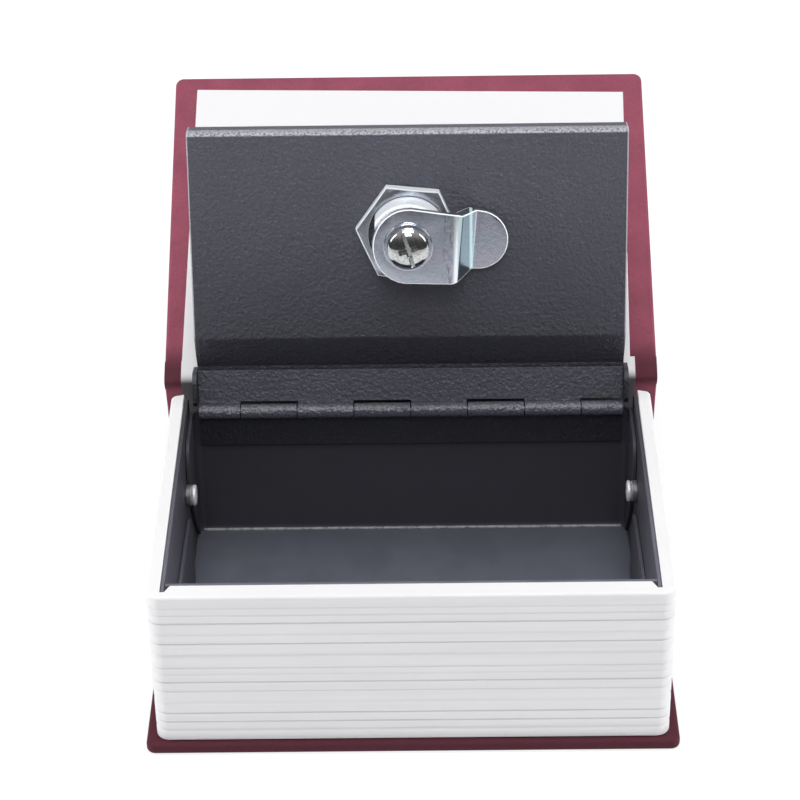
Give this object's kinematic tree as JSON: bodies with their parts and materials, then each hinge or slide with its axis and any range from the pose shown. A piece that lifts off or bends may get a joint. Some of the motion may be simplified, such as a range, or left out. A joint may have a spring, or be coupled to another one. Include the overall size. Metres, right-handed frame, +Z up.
{
  "type": "book diversion safe",
  "caption": "Small steel cash box with a cam-locked hinged lid, set in a moulded page block inside the case of a hardback book.",
  "frame": {"origin": "centre of the back cover board's underside, on the surface that the safe rests on", "axes": "+Z up, +Y towards the spine and the hinge, +X to the right of someone who faces the fore edge"},
  "size_m": [0.115, 0.1565, 0.1037],
  "materials": {
    "book_cloth": "matte embossed",
    "paper": "matte",
    "page_plastic": "satin",
    "powder_coat": "hammered satin",
    "zinc": "bright zinc",
    "screw": "polished",
    "rivet": "satin"
  },
  "bodies": {
    "box": {"back_cover": "book_cloth", "spine": "book_cloth", "spine_lining": "paper", "back_joint_cloth": "book_cloth", "page_block": "page_plastic", "tub_floor": "powder_coat", "tub_rear_wall": "powder_coat", "lid_ledge": "powder_coat", "tub_side_left": "powder_coat", "tub_side_right": "powder_coat", "rivet_left": "rivet", "rivet_right": "rivet", "hinge_leaf_fixed": "powder_coat", "hinge_pin": "zinc"},
    "lid": {"lid_panel": "powder_coat", "hinge_leaf_moving": "powder_coat", "lock_body": "zinc", "lock_nut": "zinc"},
    "lock_turning": {"lock_plug": "zinc", "stop_washer": "zinc", "cam": "zinc", "cam_washer": "zinc", "cam_screw": "screw"},
    "cover": {"front_cover": "book_cloth", "front_joint_cloth": "book_cloth", "front_endpaper": "paper"}
  },
  "joints": [
    {"name": "lid_hinge", "type": "hinge", "parent": "box", "child": "lid", "pos_m": [0, 0.03445, 0.03865], "axis": [1, 0, 0], "range_deg": [0, 104.7]},
    {"name": "cover_hinge", "type": "hinge", "parent": "box", "child": "cover", "pos_m": [0, 0.043, 0.042], "axis": [1, 0, 0], "range_deg": [0, 149.5]},
    {"name": "lock_turn", "type": "hinge", "parent": "lid", "child": "lock_turning", "pos_m": [0, 0.04215, 0.08181], "axis": [0, -0.9673, 0.2538], "range_deg": [0, 94.9]}
  ],
  "couplings": [
    {"joint": "cover_hinge", "follows": "lid_hinge", "ratio": 1.4278}
  ]
}
